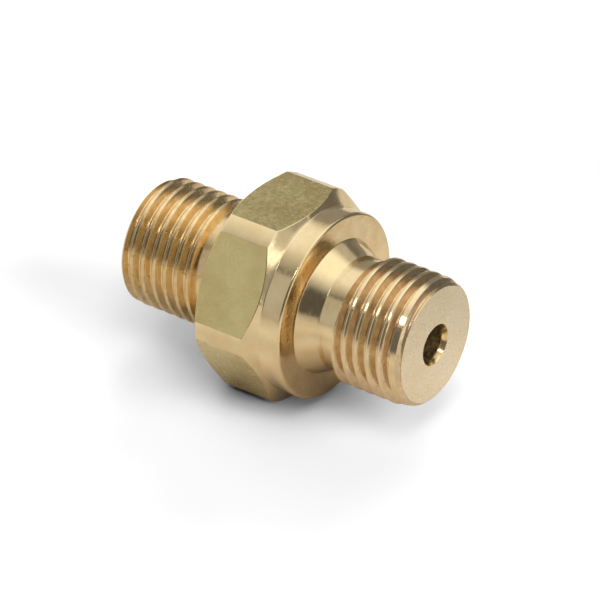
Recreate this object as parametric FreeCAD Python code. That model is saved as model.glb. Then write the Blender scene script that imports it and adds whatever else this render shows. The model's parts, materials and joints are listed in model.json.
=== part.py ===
"""Double male coupling for a hydraulic test point, turned and milled from one brass bar.

The axis of the bore is the X axis. The origin is the middle of the collar's sealing face, which
looks along +X, towards the short connection side. The hexagon lies on one of its flats, so -Z is
down. All sizes are in millimetres.
"""
import FreeCAD, Part
import math
import os

NODE = "coupling_body"

# Lengths along the axis
FRONT_REACH = 11.5          # sealing face to the front end face
HEXAGON_AND_COLLAR = 9.55   # back of the hexagon to the sealing face
REAR_REACH = 11.6           # back of the hexagon to the rear end face
COLLAR_LENGTH = 2.25        # sealing face to the foot of the hexagon's front cone
FRONT_THREAD_LENGTH = 7.4
REAR_THREAD_LENGTH = 8.45

# Pipe thread G 1/4, cut at both ends
THREADS_PER_INCH = 19
PITCH_DIAMETER = 12.301
THREAD_DEPTH_SHARE = 0.6403     # full depth of the thread, as a share of its pitch
CREST_ALLOWANCE = 0.157         # how far the turned diameter lies under the full thread's
THREAD_ANGLE = 55.0             # between the two flanks, in degrees
FRONT_THREAD_TURN = 200.0       # where the front thread starts round the axis, in degrees
REAR_THREAD_TURN = 314.0        # where the rear thread starts round the axis, in degrees
END_CHAMFER = 0.57              # 45 degree lead of each thread

# Undercuts beside the threads
UNDERCUT_CLEARANCE = 0.0225     # between the thread's root and the undercut, along the radius
NECK_FLARE = 1.1                # how far the neck's cone rises from the undercut to the collar
NECK_CONE_ANGLE = 30.0          # between the cone's side and the axis, in degrees

# Hexagon and collar
ACROSS_FLATS = 19.5
TURNED_CORNER_DIAMETER = 21.5
BACK_CHAMFER_DIAMETER = 18.9    # where the back chamfer starts, on the hexagon's back face
BACK_CHAMFER_ANGLE = 33.0       # between the back chamfer and the back face, in degrees
FRONT_CONE_ANGLE = 38.0         # between the front cone and the sealing face, in degrees
COLLAR_DIAMETER = 18.75
COLLAR_EDGE = 0.3               # 45 degree break of the collar's front edge

# Bore
BORE_DIAMETER = 3.8
MOUTH_FLARE = 0.2               # how far the bore widens at each mouth, along the radius
MOUTH_DEPTH = 0.55              # how far in each mouth's cone reaches

INCH = 25.4
CUTTER_OVERLAP = 0.1            # how far the thread cutter stands out past the blank
FULL_TURN = 360.0

AXIS = FreeCAD.Vector(1, 0, 0)
ORIGIN = FreeCAD.Vector(0, 0, 0)

pitch = INCH / THREADS_PER_INCH
back_of_hexagon = -HEXAGON_AND_COLLAR
front_end = FRONT_REACH
rear_end = back_of_hexagon - REAR_REACH
front_thread_foot = front_end - FRONT_THREAD_LENGTH
rear_thread_foot = rear_end + REAR_THREAD_LENGTH

thread_depth = THREAD_DEPTH_SHARE * pitch
thread_middle = PITCH_DIAMETER / 2
thread_root = thread_middle - thread_depth / 2
thread_crest = thread_middle + (thread_depth - CREST_ALLOWANCE) / 2
undercut = thread_root - UNDERCUT_CLEARANCE
neck_base = undercut + NECK_FLARE


def slope(angle):
    """Rise over run of a line at this angle in degrees."""
    return math.tan(math.radians(angle))


def neck_cone_end():
    """Where the neck's cone has come down to the undercut."""
    return NECK_FLARE / slope(NECK_CONE_ANGLE)


def turned_outline():
    """Half section of the turned blank, as points along the axis and out from it."""
    corner = TURNED_CORNER_DIAMETER / 2
    collar = COLLAR_DIAMETER / 2
    chamfer_foot = BACK_CHAMFER_DIAMETER / 2
    bore = BORE_DIAMETER / 2
    mouth = bore + MOUTH_FLARE
    back_corner = back_of_hexagon + (corner - chamfer_foot) * slope(BACK_CHAMFER_ANGLE)
    front_corner = -COLLAR_LENGTH - (corner - collar) * slope(FRONT_CONE_ANGLE)
    return [
        (rear_end, mouth),
        (rear_end, thread_crest - END_CHAMFER),
        (rear_end + END_CHAMFER, thread_crest),
        (rear_thread_foot, thread_crest),
        (rear_thread_foot, undercut),
        (back_of_hexagon, undercut),
        (back_of_hexagon, chamfer_foot),
        (back_corner, corner),
        (front_corner, corner),
        (-COLLAR_LENGTH, collar),
        (-COLLAR_EDGE, collar),
        (0, collar - COLLAR_EDGE),
        (0, neck_base),
        (neck_cone_end(), undercut),
        (front_thread_foot, undercut),
        (front_thread_foot, thread_crest),
        (front_end - END_CHAMFER, thread_crest),
        (front_end, thread_crest - END_CHAMFER),
        (front_end, mouth),
        (front_end - MOUTH_DEPTH, bore),
        (rear_end + MOUTH_DEPTH, bore),
    ]


def turned_blank():
    """The bar after turning and drilling, before the flats and threads are cut."""
    corners = [FreeCAD.Vector(along, 0, out) for along, out in turned_outline()]
    section = Part.Face(Part.makePolygon(corners + corners[:1]))
    return section.revolve(ORIGIN, AXIS, FULL_TURN)


def hexagon_prism():
    """Six flats through the whole length, one of them facing straight down."""
    reach = ACROSS_FLATS / 2 / math.cos(math.pi / 6)
    corners = []
    for step in range(6):
        turn = step * math.pi / 3
        corners.append(FreeCAD.Vector(rear_end, reach * math.cos(turn), reach * math.sin(turn)))
    face = Part.Face(Part.makePolygon(corners + corners[:1]))
    return face.extrude(AXIS * (front_end - rear_end))


def thread_cutter(start, end, meets, turn):
    """Helical cutter for one right-hand thread groove.

    The middle of the groove runs from start to end along the axis, on the helix that passes
    the place meets at the angle turn, which is measured from +Y towards +Z.
    """
    top = thread_crest + CUTTER_OVERLAP
    half_at_root = pitch / 4 - (thread_middle - thread_root) * slope(THREAD_ANGLE / 2)
    half_at_top = pitch / 4 + (top - thread_middle) * slope(THREAD_ANGLE / 2)
    corners = [
        FreeCAD.Vector(thread_root, 0, -half_at_root),
        FreeCAD.Vector(top, 0, -half_at_top),
        FreeCAD.Vector(top, 0, half_at_top),
        FreeCAD.Vector(thread_root, 0, half_at_root),
    ]
    section = Part.makePolygon(corners + corners[:1])
    straight = 0
    path = Part.Wire(Part.makeLongHelix(pitch, end - start, thread_middle, straight).Edges)
    cutter = path.makePipeShell([section], True, True)
    start_turn = turn + FULL_TURN * (start - meets) / pitch
    cutter.rotate(ORIGIN, FreeCAD.Vector(0, 0, 1), start_turn)
    # The helix was made along Z. A third of a turn about the space diagonal takes Z to X,
    # X to Y and Y to Z.
    cutter.rotate(ORIGIN, FreeCAD.Vector(1, 1, 1), FULL_TURN / 3)
    cutter.translate(AXIS * start)
    return cutter


def coupling_body():
    """The whole coupling, which is one piece."""
    run_out = pitch
    front_undercut_middle = (neck_cone_end() + front_thread_foot) / 2
    rear_undercut_middle = (rear_thread_foot + back_of_hexagon) / 2
    front_cutter = thread_cutter(
        front_undercut_middle, front_end + run_out, front_end, FRONT_THREAD_TURN)
    rear_cutter = thread_cutter(
        rear_end - run_out, rear_undercut_middle, rear_end, REAR_THREAD_TURN)
    milled = turned_blank().common(hexagon_prism())
    return milled.cut(front_cutter).cut(rear_cutter)


body = coupling_body()
os.makedirs("parts", exist_ok=True)
body.exportStep("parts/" + NODE + ".step")
print(NODE, "valid", body.isValid(), "solids", len(body.Solids), "volume", round(body.Volume, 3))
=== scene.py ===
import json
import math

import bmesh
import bpy
from mathutils import Matrix, Vector


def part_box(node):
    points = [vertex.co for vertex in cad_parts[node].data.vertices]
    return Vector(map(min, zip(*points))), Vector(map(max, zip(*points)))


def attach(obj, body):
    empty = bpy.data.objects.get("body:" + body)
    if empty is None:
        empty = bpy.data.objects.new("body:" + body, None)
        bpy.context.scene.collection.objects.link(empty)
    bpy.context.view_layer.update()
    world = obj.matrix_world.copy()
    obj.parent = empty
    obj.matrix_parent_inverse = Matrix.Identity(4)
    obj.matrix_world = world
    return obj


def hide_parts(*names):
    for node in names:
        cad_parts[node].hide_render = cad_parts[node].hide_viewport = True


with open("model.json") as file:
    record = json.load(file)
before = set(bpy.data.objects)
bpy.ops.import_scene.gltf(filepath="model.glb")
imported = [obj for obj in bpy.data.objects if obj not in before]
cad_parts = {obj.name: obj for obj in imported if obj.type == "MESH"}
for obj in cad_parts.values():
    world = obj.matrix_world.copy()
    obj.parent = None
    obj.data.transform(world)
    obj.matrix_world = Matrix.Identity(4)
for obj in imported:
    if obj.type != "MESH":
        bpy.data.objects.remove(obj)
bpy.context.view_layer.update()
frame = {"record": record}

NODE = "coupling_body"
MM = 0.001
FULL_TURN = 2 * math.pi

# What the frame says about the coupling, in millimetres
low_corner, high_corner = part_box(NODE)
front_end = high_corner[0] / MM
rear_end = low_corner[0] / MM
flat_distance = high_corner[2] / MM
corner_radius = high_corner[1] / MM
mounts = {mount["name"]: mount for mount in frame["record"]["mounts"]}
bore_radius = mounts["flow_bore"]["dims"]["r_mm"]
hexagon_back = mounts["hexagon_back"]["pos_m"][0] / MM

# The rest of the turned outline, in millimetres
FRONT_THREAD_LENGTH = 7.4
REAR_THREAD_LENGTH = 8.45
COLLAR_LENGTH = 2.25
COLLAR_RADIUS = 9.375
FRONT_CONE_ANGLE = math.radians(38.0)
BACK_CHAMFER_RADIUS = 9.45
BACK_CHAMFER_ANGLE = math.radians(33.0)
UNDERCUT_RADIUS = 5.7
NECK_BASE_RADIUS = 6.8
NECK_CONE_ANGLE = math.radians(30.0)
MOUTH_FLARE = 0.2
MOUTH_DEPTH = 0.55
SIDES = 6                           # flats of the hexagon

# Pipe thread G 1/4
PITCH = 25.4 / 19
THREAD_CREST = 6.5
THREAD_MIDDLE = 6.1505
THREAD_ROOT = 5.7225
HALF_THREAD_ANGLE = math.radians(27.5)
FRONT_THREAD_TURN = math.radians(200.0)
REAR_THREAD_TURN = math.radians(314.0)
# Each lead, as its angle to the axis, the radius where it would meet the end face, and the size
# of the break between the two
FRONT_LEAD = (math.radians(17.0), 6.04, 0.16)
REAR_LEAD = (math.radians(45.0), 5.93, 0.07)
RIM_BREAK_ANGLE = math.radians(45.0)

# Crests, as points (along from the middle, under the crest, rounding) towards the end face
FRONT_CREST = [
    (-0.152, 0, 0.05), (-0.06, 0, 0), (-0.03, 0.03, 0), (0, 0, 0), (0.181, 0.055, 0.05),
]
REAR_CREST = [(-0.204, 0.16, 0.12), (0.02, 0, 0.05), (0.194, 0.14, 0.05)]
CREST_BAND = 0.08                   # how far under the crest the front thread counts as turned

# Roundings and breaks, as radii and widths in millimetres
ROOT_ROUNDING = 0.17
COLLAR_FRONT_ROUNDING = 0.28
COLLAR_FOOT_ROUNDING = 0.12
NECK_ROUNDING = 0.12
HEXAGON_ROUNDING = 0.12
MOUTH_ROUNDING = 0.05
FLAT_EDGE_BREAK = 0.06

# How finely the mesh is made
AROUND = 180                        # faces round the axis
LONGEST = 0.5                       # longest face along the outline between the threads
ARC_FACE = math.radians(16)         # how far one face of a rounding may turn
BREAK_FACES = 2                     # faces across each broken edge
SHARP = math.radians(24)            # edges that turn further are shaded sharp
MERGE = 1e-4 * MM
ON_CUT = 0.003 * MM                 # how near a cut a point has to lie to belong to it
SHORT = 0.04 * MM                   # edges under this length beside a cut are closed up

FINISHES = ["turned", "faced", "collar_face", "drawn", "front_thread", "rear_thread", "drilled"]


def wire(bm, outline):
    """A chain of edges through points (along the axis, out from it, rounding), above the axis."""
    verts = [bm.verts.new((along * MM, 0, out * MM)) for along, out, _ in outline]
    for first, second in zip(verts, verts[1:]):
        bm.edges.new((first, second))
    for vert, (_, _, rounding) in zip(verts, outline):
        if rounding:
            round_corner(bm, vert, rounding)


def round_corner(bm, vert, radius):
    """Turns a corner of a wire into an arc of this radius in millimetres."""
    arms = [edge.other_vert(vert).co - vert.co for edge in vert.link_edges]
    turn = math.pi - arms[0].angle(arms[1])
    bmesh.ops.bevel(
        bm, geom=[vert], offset=radius * MM * math.tan(turn / 2), offset_type="OFFSET",
        affect="VERTICES", segments=math.ceil(turn / ARC_FACE), profile=0.5, material=-1)


def divide(bm):
    """Divides each long edge of a wire into equal parts."""
    for edge in bm.edges[:]:
        parts = math.ceil(edge.calc_length() / (LONGEST * MM))
        if parts > 1:
            bmesh.ops.subdivide_edges(bm, edges=[edge], cuts=parts - 1)


def spin(bm, advance):
    """Spins a wire once round the axis while it moves on by advance in millimetres.

    A wire that stays in its place meets its start, and one that moves on meets its next turn.
    """
    bmesh.ops.spin(
        bm, geom=bm.verts[:] + bm.edges[:], cent=(0, 0, 0), axis=(1, 0, 0),
        dvec=(advance * MM / AROUND, 0, 0), angle=FULL_TURN, steps=AROUND,
        use_merge=not advance)
    bmesh.ops.remove_doubles(bm, verts=bm.verts, dist=MERGE)


def set_finish(items, finish):
    """Gives the faces among these items a finish."""
    for item in items:
        if isinstance(item, bmesh.types.BMFace):
            item.material_index = FINISHES.index(finish)


def cut(bm, place, direction):
    """Cuts away what lies beyond a plane and returns the edges of the cut, exactly on it."""
    place, direction = Vector(place), Vector(direction)
    everything = bm.verts[:] + bm.edges[:] + bm.faces[:]
    made = bmesh.ops.bisect_plane(
        bm, geom=everything, dist=ON_CUT / 2, plane_co=place, plane_no=direction,
        clear_outer=True)
    edges = [item for item in made["geom_cut"] if isinstance(item, bmesh.types.BMEdge)]
    for vert in {vert for edge in edges for vert in edge.verts}:
        vert.co -= direction * (vert.co - place).dot(direction)
    return edges


def out_from_axis(vert):
    return math.hypot(vert.co.y, vert.co.z)


def shear(bm, share):
    """Moves each point along the axis by a share of its distance from the axis."""
    for vert in bm.verts:
        vert.co.x += share * out_from_axis(vert)


def run_in(bm, along, out, finish):
    """Grows the open rim at this place into a ring of this radius, with its points evenly round."""
    made = bmesh.ops.extrude_edge_only(bm, edges=rim(bm, along))
    set_finish(made["geom"], finish)
    step = FULL_TURN / AROUND
    for vert in made["geom"]:
        if isinstance(vert, bmesh.types.BMVert):
            turn = round(math.atan2(vert.co.z, vert.co.y) / step) * step
            vert.co = Vector((along, out * math.cos(turn), out * math.sin(turn)))
    bmesh.ops.remove_doubles(bm, verts=bm.verts, dist=MERGE)


def rim(bm, along):
    """The open edges in the plane at this place along the axis."""
    return [edge for edge in bm.edges if edge.is_boundary
            and all(abs(vert.co.x - along) < ON_CUT for vert in edge.verts)]


def thread(length, turn, crest, lead, finish):
    """A right-hand thread from its foot at -length to its end face at 0, with a lead.

    The middle of its groove meets the end face at this turn, from +Y towards +Z.
    """
    bm = bmesh.new()
    wire(bm, thread_outline(length, turn, crest))
    spin(bm, PITCH)

    foot = -length * MM
    cut(bm, (foot, 0, 0), (-1, 0, 0))
    cut(bm, (0, 0, 0), (1, 0, 0))
    set_finish(bm.faces, finish)
    run_in(bm, foot, UNDERCUT_RADIUS * MM, "turned")
    run_in(bm, 0, (bore_radius + MOUTH_FLARE) * MM, "faced")
    angle, end_radius, rim_break = lead
    cut_cone(bm, angle, end_radius)
    cut_cone(bm, RIM_BREAK_ANGLE, end_radius - rim_break)
    for vert in bm.verts:
        if abs(vert.co.x) < ON_CUT:
            vert.co.x = 0
    return bm


def thread_outline(length, turn, crest):
    """The wire that one spin turns into the thread, from past its foot to past its end face."""
    half_root = PITCH / 4 - (THREAD_MIDDLE - THREAD_ROOT) * math.tan(HALF_THREAD_ANGLE)
    start = (math.pi / 2 - turn) / FULL_TURN % 1 * PITCH
    turns_back = math.ceil((length + start) / PITCH) + 1
    outline = []
    for count in range(-turns_back, 1):
        groove = start + count * PITCH
        ridge = groove + PITCH / 2
        outline += [
            (groove, THREAD_ROOT, 0),
            (groove + half_root, THREAD_ROOT, ROOT_ROUNDING),
        ]
        outline += [(ridge + along, THREAD_CREST - drop, rounding)
                    for along, drop, rounding in crest]
        outline.append((groove + PITCH - half_root, THREAD_ROOT, ROOT_ROUNDING))
    outline.append((start + PITCH, THREAD_ROOT, 0))
    return outline


def is_crest(face):
    low = (THREAD_CREST - CREST_BAND) * MM
    return (face.material_index == FINISHES.index("front_thread")
            and all(out_from_axis(vert) > low for vert in face.verts))


def cut_cone(bm, angle, end_radius):
    """Cuts a cone at this angle to the axis, as a plane while the cone is laid flat."""
    share = 1 / math.tan(angle)
    shear(bm, share)
    edges = cut(bm, (end_radius * MM * share, 0, 0), (1, 0, 0))
    made = bmesh.ops.triangle_fill(
        bm, edges=edges, use_beauty=True, use_dissolve=False, normal=(1, 0, 0))
    set_finish(made["geom"], "turned")
    shear(bm, -share)


def turned_middle(front_foot, rear_foot):
    """Everything turned between the feet of the two threads."""
    neck_bend = (NECK_BASE_RADIUS - UNDERCUT_RADIUS) / math.tan(NECK_CONE_ANGLE)
    rise = corner_radius - COLLAR_RADIUS
    front_corner = -COLLAR_LENGTH - rise * math.tan(FRONT_CONE_ANGLE)
    chamfer_rise = corner_radius - BACK_CHAMFER_RADIUS
    back_corner = hexagon_back + chamfer_rise * math.tan(BACK_CHAMFER_ANGLE)
    bm = bmesh.new()
    wire(bm, [
        (front_foot, UNDERCUT_RADIUS, 0),
        (neck_bend, UNDERCUT_RADIUS, NECK_ROUNDING),
        (0, NECK_BASE_RADIUS, NECK_ROUNDING),
        (0, COLLAR_RADIUS, COLLAR_FRONT_ROUNDING),
        (-COLLAR_LENGTH, COLLAR_RADIUS, COLLAR_FOOT_ROUNDING),
        (front_corner, corner_radius, HEXAGON_ROUNDING),
        (back_corner, corner_radius, HEXAGON_ROUNDING),
        (hexagon_back, BACK_CHAMFER_RADIUS, HEXAGON_ROUNDING),
        (hexagon_back, UNDERCUT_RADIUS, NECK_ROUNDING),
        (rear_foot, UNDERCUT_RADIUS, 0),
    ])
    divide(bm)
    spin(bm, 0)
    set_finish(bm.faces, "turned")
    set_finish([face for face in bm.faces if is_sealing_face(face)], "collar_face")
    # The undercut beside the hexagon takes the rear thread's brass, whose darker orange colour is
    # painted inter-reflection
    undercut_painted_bounce = [face for face in bm.faces if face.calc_center_median().x < hexagon_back * MM]
    set_finish(undercut_painted_bounce, "rear_thread")
    return bm


def is_sealing_face(face):
    return all(abs(vert.co.x) < ON_CUT for vert in face.verts)


def bore():
    """The hole right through, with its flared mouths."""
    mouth = bore_radius + MOUTH_FLARE
    bm = bmesh.new()
    wire(bm, [
        (front_end, mouth, 0),
        (front_end - MOUTH_DEPTH, bore_radius, MOUTH_ROUNDING),
        (rear_end + MOUTH_DEPTH, bore_radius, MOUTH_ROUNDING),
        (rear_end, mouth, 0),
    ])
    spin(bm, 0)
    set_finish(bm.faces, "drilled")
    set_finish([face for face in bm.faces if is_mouth(face)], "turned")
    return bm


def is_mouth(face):
    along = face.calc_center_median().x / MM
    return along > front_end - MOUTH_DEPTH or along < rear_end + MOUTH_DEPTH


def as_mesh(bm, name):
    """A mesh from a bmesh, which is used up."""
    mesh = bpy.data.meshes.new(name)
    bm.to_mesh(mesh)
    bm.free()
    return mesh


def join(parts):
    """One bmesh of several, with their touching edges merged."""
    whole = bmesh.new()
    for part in parts:
        mesh = as_mesh(part, "part")
        whole.from_mesh(mesh)
        bpy.data.meshes.remove(mesh)
    bmesh.ops.remove_doubles(whole, verts=whole.verts, dist=MERGE)
    return whole


def close_short_edges(bm, edges):
    """Welds the far end of each very short edge beside a cut onto the cut.

    It goes by the points' numbers, so that each run makes the same choices.
    """
    bm.verts.index_update()
    on_cut = {vert for edge in edges for vert in edge.verts}
    targets = {}
    for vert in sorted(on_cut, key=lambda vert: vert.index):
        for edge in vert.link_edges:
            other = edge.other_vert(vert)
            if edge.calc_length() < SHORT and other not in on_cut and other not in targets:
                targets[other] = vert
    bmesh.ops.weld_verts(bm, targetmap=targets)
    bmesh.ops.dissolve_degenerate(bm, dist=MERGE, edges=bm.edges)


def break_edges(bm, edges, width):
    """Breaks these edges, and shades each break apart from the faces beside it."""
    made = bmesh.ops.bevel(
        bm, geom=edges, offset=width * MM, offset_type="OFFSET", affect="EDGES",
        segments=BREAK_FACES, profile=0.5, material=-1, clamp_overlap=True)
    breaks = set(made["faces"])
    for edge in {edge for face in breaks for edge in face.edges}:
        edge.smooth = all(face in breaks for face in edge.link_faces)


def cut_flats(bm):
    """Cuts the flats, one of them facing straight down, and breaks their edges."""
    for count in range(SIDES):
        turn = FULL_TURN * (count + 0.5) / SIDES
        direction = Vector((0, math.cos(turn), math.sin(turn)))
        edges = cut(bm, direction * flat_distance * MM, direction)
        made = bmesh.ops.contextual_create(bm, geom=edges)
        set_finish(made["faces"], "drawn")
        close_short_edges(bm, edges)
    bm.normal_update()
    break_edges(bm, [edge for edge in bm.edges if is_flat_edge(edge)], FLAT_EDGE_BREAK)


def is_flat_edge(edge):
    """Whether a flat lies on one side of this edge and something turned on the other."""
    flat = [face.material_index == FINISHES.index("drawn") for face in edge.link_faces]
    return any(flat) and not all(flat)


def coupling():
    """The whole coupling as one closed mesh."""
    front_thread = thread(
        FRONT_THREAD_LENGTH, FRONT_THREAD_TURN, FRONT_CREST, FRONT_LEAD, "front_thread")
    set_finish([face for face in front_thread.faces if is_crest(face)], "turned")
    bmesh.ops.translate(front_thread, verts=front_thread.verts, vec=(front_end * MM, 0, 0))
    rear_thread = thread(
        REAR_THREAD_LENGTH, math.pi - REAR_THREAD_TURN, REAR_CREST, REAR_LEAD, "rear_thread")
    bmesh.ops.rotate(
        rear_thread, verts=rear_thread.verts, cent=(0, 0, 0),
        matrix=Matrix.Rotation(math.pi, 3, "Z"))
    bmesh.ops.translate(rear_thread, verts=rear_thread.verts, vec=(rear_end * MM, 0, 0))
    middle = turned_middle(front_end - FRONT_THREAD_LENGTH, rear_end + REAR_THREAD_LENGTH)
    cut_flats(middle)
    whole = join([front_thread, rear_thread, middle, bore()])
    bmesh.ops.recalc_face_normals(whole, faces=whole.faces)
    for edge in whole.edges:
        if edge.calc_face_angle() > SHARP:
            edge.smooth = False
    return as_mesh(whole, "coupling")


def linear(hex_colour):
    """A colour given as sRGB hex, as the linear values that Blender takes."""
    shares = [int(hex_colour[place:place + 2], 16) / 255 for place in (1, 3, 5)]
    return [share / 12.92 if share <= 0.04045 else ((share + 0.055) / 1.055) ** 2.4
            for share in shares] + [1]


def add(tree, kind, inputs=None, **settings):
    """Adds a node with its settings, and its inputs as values or as sockets to link from."""
    node = tree.nodes.new("ShaderNode" + kind)
    for name, value in settings.items():
        setattr(node, name, value)
    for socket, value in (inputs or {}).items():
        if isinstance(value, bpy.types.NodeSocket):
            tree.links.new(value, node.inputs[socket])
        else:
            node.inputs[socket].default_value = value
    return node


def new_material(name):
    material = bpy.data.materials.new(name)
    material.use_nodes = True
    material.node_tree.nodes.clear()
    return material, material.node_tree


def from_to(low, high, start, end):
    """Settings for a value that goes from start to end while another goes from low to high."""
    return {"From Min": low, "From Max": high, "To Min": start, "To Max": end}


def along_and_out(tree, place):
    """The place along the axis and out from it, which is the same all round a turned surface."""
    parts = add(tree, "SeparateXYZ", {0: place}).outputs
    across = add(tree, "CombineXYZ", {1: parts[1], 2: parts[2]})
    out = add(tree, "VectorMath", {0: across.outputs[0]}, operation="LENGTH")
    return add(tree, "CombineXYZ", {0: parts[0], 1: out.outputs["Value"]}).outputs[0]


# Sizes of the marks on the brass, in millimetres. Real tool marks lie some hundredths of a
# millimetre apart, too fine for the picture, so these are drawn coarser
TURNED_RINGS = 0.3
DRAWN_LINES = 0.25
DRAWN_SQUEEZE = (0.12, 1, 1)        # draws the lines out along the bar
DRAWN_MOTTLE = 0.2
THREAD_LINES = 0.12
TORN_GRAIN = 0.12
BORE_SCORES = 0.25
DULL_PATCHES = 0.4
MARK_DETAIL = 3.0                   # how many times finer patterns are laid over a pattern
STAIN_DETAIL = 4.0
# Where a pattern starts and stops to change from clean to stained, and from bright to dull
STAIN_EDGES = (0.35, 0.65)
DULL_EDGES = (0.35, 0.7)


def sized(size, detail=MARK_DETAIL):
    """Settings for a soft irregular pattern with features about this many millimetres long."""
    return {"Scale": 1 / (size * MM), "Detail": detail}


def turning_marks(tree, place):
    """Rings round the axis, as a turning tool leaves them."""
    rings = {"Vector": along_and_out(tree, place), **sized(TURNED_RINGS)}
    return add(tree, "TexNoise", rings).outputs[0]


def drawing_marks(tree, place):
    """Faint lines along the bar, as the drawing die leaves them, over a matt mottle."""
    drawn_out = add(tree, "Mapping", {"Vector": place, "Scale": DRAWN_SQUEEZE}).outputs[0]
    lines = add(tree, "TexNoise", {"Vector": drawn_out, **sized(DRAWN_LINES)}).outputs[0]
    mottle = add(tree, "TexNoise", {"Vector": place, **sized(DRAWN_MOTTLE)}).outputs[0]
    return add(tree, "Math", {0: lines, 1: mottle}, operation="ADD").outputs[0]


def cutting_marks(tree, place):
    """Fine lines along the thread and torn grain across it."""
    round_axis = along_and_out(tree, place)
    lines = add(tree, "TexNoise", {"Vector": round_axis, **sized(THREAD_LINES)}).outputs[0]
    torn = add(tree, "TexNoise", {"Vector": place, **sized(TORN_GRAIN)}).outputs[0]
    return add(tree, "Math", {0: lines, 1: torn}, operation="ADD").outputs[0]


def drilling_marks(tree, place):
    """Scores round the bore."""
    scores = {"Vector": along_and_out(tree, place), **sized(BORE_SCORES)}
    return add(tree, "TexNoise", scores).outputs[0]


# Bare brass by how each surface was made, as (material, marks, their depth in millimetres,
# roughness where bright and where dull, colour where clean and where stained, size of the stains)
BRASS = {
    # Cut by a sharp tool: clear bands of light and dark, drawn soft at their edges by the rings
    "turned": (
        "turned_brass", turning_marks, 0.009, (0.12, 0.22), ("#F3DCAD", "#EAD09E"), 2.0),
    # Cut across its end: an even pale satin without clear reflections
    "faced": (
        "faced_brass", turning_marks, 0.005, (0.27, 0.3), ("#EDDDBF", "#E8D7B5"), 2.5),
    # Turned finely, to seal: blurred but deep reflections of the neck in front of it
    "collar_face": (
        "finely_turned_brass", turning_marks, 0.004, (0.16, 0.28), ("#EDD6AB", "#E5C894"), 1.5),
    # The bar's own skin from the drawing die: a greenish, flat sheen, duller than cut brass
    "drawn": (
        "drawn_brass_bar", drawing_marks, 0.003, (0.18, 0.3), ("#EEDB9C", "#E2CC8C"), 3.0),
    # Cut by a die: a redder, deeper tone, which is painted inter-reflection standing in for the
    # light that goes to and fro in the grooves
    "front_thread": (
        "front_thread_brass_painted_bounce", cutting_marks, 0.006, (0.14, 0.28), ("#E6CEA8", "#D8BB92"), 0.8),
    # The same, more golden, its colour being painted inter-reflection of the grooves, between pale
    # lines along the crests
    "rear_thread": (
        "rear_thread_brass_painted_bounce", cutting_marks, 0.006, (0.14, 0.28), ("#EBD0A1", "#DCBE8A"), 0.8),
    # Torn by the drill's lips: rough and scored, so the hole reads dark and uneven
    "drilled": (
        "drilled_brass", drilling_marks, 0.07, (0.2, 0.4), ("#F6EACB", "#EAD8B4"), 0.7),
}


def brass(name, marks, depth, roughness, colours, stain_size):
    """Bare brass with tool marks this many millimetres deep, and stains between two colours."""
    material, tree = new_material(name)
    place = add(tree, "TexCoord").outputs["Object"]
    stains = add(tree, "TexNoise", {"Vector": place, **sized(stain_size, STAIN_DETAIL)})
    stained = add(tree, "MapRange", {"Value": stains.outputs[0], **from_to(*STAIN_EDGES, 0, 1)})
    colour = add(tree, "MixRGB", {
        "Fac": stained.outputs[0],
        "Color1": linear(colours[0]), "Color2": linear(colours[1])})
    patches = add(tree, "TexNoise", {"Vector": place, **sized(DULL_PATCHES)})
    dull = add(tree, "MapRange", {
        "Value": patches.outputs[0], **from_to(*DULL_EDGES, *roughness)})
    bump = add(tree, "Bump", {"Distance": depth * MM, "Height": marks(tree, place)})
    surface = add(tree, "BsdfPrincipled", {
        "Base Color": colour.outputs[0], "Metallic": 1.0, "Roughness": dull.outputs[0],
        "Normal": bump.outputs[0]})
    add(tree, "OutputMaterial", {0: surface.outputs[0]})
    return material


def dressed(mesh):
    """The coupling's object, with its finishes."""
    for finish in FINISHES:
        mesh.materials.append(brass(*BRASS[finish]))
    mesh.shade_smooth()
    piece = bpy.data.objects.new("coupling", mesh)
    bpy.context.scene.collection.objects.link(piece)
    even = piece.modifiers.new("even_shading", "WEIGHTED_NORMAL")
    even.keep_sharp = True
    # No brass-coloured light falls on the table, so its shadow stays neutral
    piece.visible_diffuse = False
    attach(piece, "root")
    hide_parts(NODE)


# The camera in millimetres, as the perspective of the threads, the collar and the flats gives it
CAMERA_PLACE = (201.21, -282.26, 236.30)
CAMERA_LENS = 264.1
CAMERA_AIM = (-4.07, -0.10, -0.77)
CAMERA_LEAN = math.radians(1.07)
NEAREST_SEEN = 10.0


def camera():
    """A long lens from the front right, leaning a little."""
    place = Vector(CAMERA_PLACE) * MM
    aim = Vector(CAMERA_AIM) * MM
    view = bpy.data.cameras.new("camera")
    view.lens = CAMERA_LENS
    view.clip_start = NEAREST_SEEN * MM
    held = bpy.data.objects.new("camera", view)
    turned = (aim - place).to_track_quat("-Z", "Y").to_matrix().to_4x4()
    held.matrix_world = (
        Matrix.Translation(place) @ turned @ Matrix.Rotation(-CAMERA_LEAN, 4, "Z"))
    bpy.context.scene.collection.objects.link(held)
    bpy.context.scene.camera = held


def way(azimuth, elevation):
    """The direction at these degrees, round from -Y towards +X and up."""
    turn = math.radians(azimuth)
    up = math.radians(elevation)
    return Vector((math.cos(up) * math.sin(turn), -math.cos(up) * math.cos(turn), math.sin(up)))


def facing(azimuth, elevation):
    """The rotation that lays a flat shape square to the direction at these degrees."""
    return way(azimuth, elevation).to_track_quat("Z", "Y").to_matrix().to_4x4()


def staged(name, bm, material):
    """A staged object from a bmesh, which is used up."""
    mesh = as_mesh(bm, name)
    mesh.materials.append(material)
    item = bpy.data.objects.new(name, mesh)
    bpy.context.scene.collection.objects.link(item)
    return item


def mirrored_only(name, bm, material):
    """A staged object that shows in the brass and nowhere else, and lights nothing matt."""
    item = staged(name, bm, material)
    item.visible_camera = False
    item.visible_diffuse = False


WHITE = (1, 1, 1, 1)


def glow(name, level):
    """A plain glowing surface, where 1 is as bright as white paper."""
    material, tree = new_material(name)
    shine = add(tree, "Emission", {"Color": WHITE, "Strength": level})
    add(tree, "OutputMaterial", {0: shine.outputs[0]})
    return material


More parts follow.
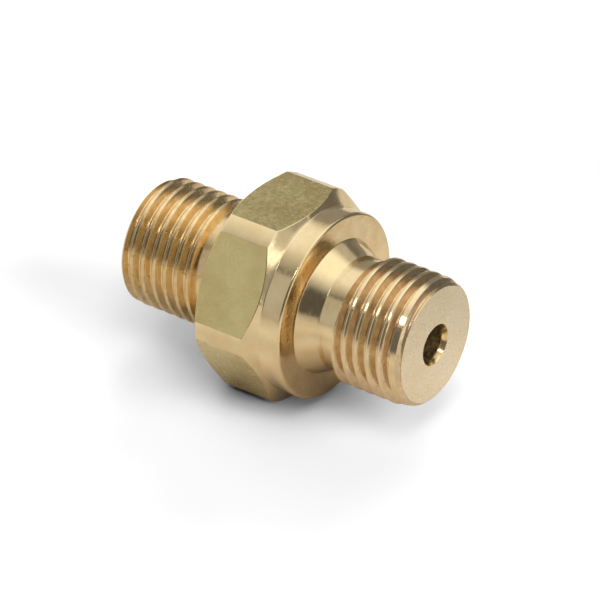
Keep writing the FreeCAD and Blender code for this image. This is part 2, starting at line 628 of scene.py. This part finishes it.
# Screens round the table, as (name, from and to round it and from and to up it in degrees,
# brightness)
SCREEN_DISTANCE = 1.2
SCREEN_FACES = 12
SCREENS = [
    ("back_left_screen", -180, -158, -2, 46, 0.25),
    ("back_left_low_screen", -158, -138, -2, 30, 0.3),
    ("back_left_high_screen", -158, -138, 30, 46, 0.31),
    ("left_panel", -138, -92, 0, 55, 1.1),
    ("left_screen", -92, -62, -2, 48, 0.85),
    ("left_edge_screen", -62, -46, -2, 48, 0.75),
    ("front_left_screen", -46, -12, -2, 49, 0.53),
    ("front_flag", -12, 11, 2, 49, 0.13),
    ("front_flag_edge", 11, 21, 2, 49, 0.2),
    ("camera_flag", 21, 52, 6, 49, 0.1),
    ("camera_flag_foot", 21, 52, -2, 6, 0.6),
    ("front_flag_foot", -12, 21, -2, 2, 0.6),
    ("right_front_screen", 52, 84, -2, 33, 0.36),
    ("right_strip", 84, 94, -2, 36, 1.7),
    ("right_screen", 94, 112, -2, 30, 0.62),
    ("right_back_screen", 112, 130, -2, 30, 0.36),
    ("right_front_high_panel", 52, 72, 33, 48, 0.36),
    ("right_high_panel", 72, 130, 31, 50, 1.0),
    ("back_screen", 130, 180, -2, 28, 0.17),
    ("back_high_screen", 130, 180, 28, 44, 0.55),
]


def screen(name, start, end, low, high, level):
    """A curved screen that stands round the table."""
    bm = bmesh.new()
    foot = SCREEN_DISTANCE * way(start, 0)
    verts = [bm.verts.new(foot + Vector((0, 0, SCREEN_DISTANCE * math.tan(math.radians(up)))))
             for up in (low, high)]
    bm.edges.new(verts)
    bmesh.ops.spin(
        bm, geom=bm.verts[:] + bm.edges[:], cent=(0, 0, 0), axis=(0, 0, 1),
        angle=math.radians(end - start), steps=SCREEN_FACES)
    mirrored_only(name, bm, glow(name, level))


# A small bright lamp head below the softbox, as (round the table and up it in degrees, radius in
# metres, brightness)
LAMP_HEAD = (13, 57.5, 0.085, 9.0)
LAMP_HEAD_SIDES = 32


def lamp_head():
    """The small lamp head that puts a white point on each crest and rounded edge."""
    azimuth, elevation, radius, level = LAMP_HEAD
    bm = bmesh.new()
    bmesh.ops.create_circle(
        bm, cap_ends=True, segments=LAMP_HEAD_SIDES, radius=radius,
        matrix=facing(azimuth, elevation))
    bmesh.ops.translate(bm, verts=bm.verts, vec=way(azimuth, elevation))
    mirrored_only("lamp_head", bm, glow("lamp_head", level))


# A dark card close behind the front thread, as (place in millimetres, way it faces in degrees,
# half size in millimetres, brightness)
CARD = ((29, 44, 8), -25, 19, 0.16)


def card():
    """The dark card that the tops of the front ridges mirror."""
    place, azimuth, reach, level = CARD
    bm = bmesh.new()
    bmesh.ops.create_grid(
        bm, x_segments=1, y_segments=1, size=reach * MM, matrix=facing(azimuth, 0))
    bmesh.ops.translate(bm, verts=bm.verts, vec=Vector(place) * MM)
    mirrored_only("dark_card", bm, glow("dark_card", level))


# The softbox over the table, as its left, right, near and far edges in metres
SOFTBOX_HEIGHT = 1.0
SOFTBOX = (-0.9, 0.9, -0.75, 1.0)
# Its brightness from left to right, and the shares that are left of it towards the near and the
# far edge, each as (from and to in metres, level at each)
SOFTBOX_ACROSS = (-0.5, 0.55, 1.02, 1.28)
SOFTBOX_NEAR = (-0.75, 0.0, 0.1, 1.0)
SOFTBOX_FAR = (0.65, 1.0, 1.0, 0.4)


def softbox():
    """One large softbox over the table, brighter to the right and fading to its edges."""
    material, tree = new_material("softbox")
    place = add(tree, "TexCoord").outputs["Object"]
    parts = add(tree, "SeparateXYZ", {0: place}).outputs
    across = add(tree, "MapRange", {"Value": parts[0], **from_to(*SOFTBOX_ACROSS)})
    near_share = add(tree, "MapRange", {"Value": parts[1], **from_to(*SOFTBOX_NEAR)})
    far_share = add(tree, "MapRange", {"Value": parts[1], **from_to(*SOFTBOX_FAR)})
    share = add(tree, "Math", {
        0: near_share.outputs[0], 1: far_share.outputs[0]}, operation="MULTIPLY")
    level = add(tree, "Math", {
        0: share.outputs[0], 1: across.outputs[0]}, operation="MULTIPLY")
    shine = add(tree, "Emission", {"Color": WHITE, "Strength": level.outputs[0]})
    add(tree, "OutputMaterial", {0: shine.outputs[0]})
    bm = bmesh.new()
    left, right, near, far = SOFTBOX
    for along, back in ((left, near), (right, near), (right, far), (left, far)):
        bm.verts.new((along, back, SOFTBOX_HEIGHT))
    bm.faces.new(bm.verts)
    mirrored_only("softbox", bm, material)


TABLE_HALF_SIZE = 6.0               # in metres
TABLE_SEEN = 0.9                    # how pale the camera sees it
# The table as the brass mirrors it, with painted light and shade: painted brass-coloured bounce
# light near by and painted shadow further off, as (share of this reach in millimetres from the
# collar's middle, colour)
TABLE_REACH = 100.0
TABLE_MIRRORED_PAINTED_LIGHT_SHADE = [
    (0.12, "#B7A898"), (0.19, "#D9D2C9"), (0.29, "#C3BFB8"), (0.42, "#CCC8C2"), (1.0, "#BDBAB5"),
]


def floor():
    """A white table, which the brass mirrors with painted light and shade: brownish from painted
    bounce light near by and dim from painted shadow far off.
    """
    material, tree = new_material("table")
    place = add(tree, "TexCoord").outputs["Object"]
    away = add(tree, "VectorMath", {0: place}, operation="LENGTH").outputs["Value"]
    reach = add(tree, "MapRange", {"Value": away, **from_to(0, TABLE_REACH * MM, 0, 1)})
    # Painted light and shade that only the brass's reflections of the table show
    mirrored = add(tree, "ValToRGB", {0: reach.outputs[0]})
    stops = mirrored.color_ramp.elements
    stops[0].position, stops[1].position = TABLE_MIRRORED_PAINTED_LIGHT_SHADE[0][0], TABLE_MIRRORED_PAINTED_LIGHT_SHADE[-1][0]
    for place_out, _ in TABLE_MIRRORED_PAINTED_LIGHT_SHADE[1:-1]:
        stops.new(place_out)
    for stop, (_, colour) in zip(stops, TABLE_MIRRORED_PAINTED_LIGHT_SHADE):
        stop.color = linear(colour)
    seen = add(tree, "LightPath").outputs["Is Camera Ray"]
    paper = add(tree, "MixRGB", {
        "Fac": seen, "Color1": mirrored.outputs[0], "Color2": (TABLE_SEEN,) * 3 + (1,)})
    matt = add(tree, "BsdfDiffuse", {"Color": paper.outputs[0]})
    add(tree, "OutputMaterial", {0: matt.outputs[0]})
    bm = bmesh.new()
    bmesh.ops.create_grid(bm, x_segments=1, y_segments=1, size=TABLE_HALF_SIZE)
    bmesh.ops.translate(bm, verts=bm.verts, vec=(0, 0, -flat_distance * MM))
    staged("table", bm, material)


# Lamps over the table, as (name, round it and up it in degrees, how bright the table gets)
LAMP_SIZE = 0.75
LAMPS = [
    ("front_lamp", 30, 66, 0.52),
    ("top_lamp", -45, 80, 0.16),
    ("left_lamp", -105, 34, 0.15),
    ("back_lamp", -165, 24, 0.37),
    ("right_lamp", 90, 24, 0.44),
]


def table_lamp(name, azimuth, elevation, level):
    """A soft lamp a metre away, which the table shows and the brass doesn't mirror.

    Its power is what a small matt lamp needs for this level on a table of this colour.
    """
    lamp = bpy.data.lights.new(name, "AREA")
    lamp.shape = "DISK"
    lamp.size = LAMP_SIZE
    lamp.energy = math.pi ** 2 * level / (TABLE_SEEN * math.sin(math.radians(elevation)))
    lamp.cycles.use_multiple_importance_sampling = False
    held = bpy.data.objects.new(name, lamp)
    held.location = way(azimuth, elevation)
    held.rotation_euler = held.location.to_track_quat("Z", "Y").to_euler()
    held.visible_glossy = False
    bpy.context.scene.collection.objects.link(held)


def surroundings():
    """White behind the object and in its reflections, which lights nothing matt."""
    world = bpy.data.worlds.new("surroundings")
    world.use_nodes = True
    tree = world.node_tree
    tree.nodes.clear()
    path = add(tree, "LightPath").outputs
    seen = add(tree, "Math", {
        0: path["Is Camera Ray"], 1: path["Is Glossy Ray"]}, operation="MAXIMUM")
    shown = add(tree, "Math", {
        0: seen.outputs[0], 1: path["Is Transmission Ray"]}, operation="MAXIMUM")
    white = add(tree, "Background", {"Color": WHITE, "Strength": shown.outputs[0]})
    add(tree, "OutputWorld", {0: white.outputs[0]})
    bpy.context.scene.world = world


dressed(coupling())
camera()
floor()
for details in LAMPS:
    table_lamp(*details)
softbox()
lamp_head()
card()
for details in SCREENS:
    screen(*details)
surroundings()
bpy.context.scene.view_settings.view_transform = "Standard"
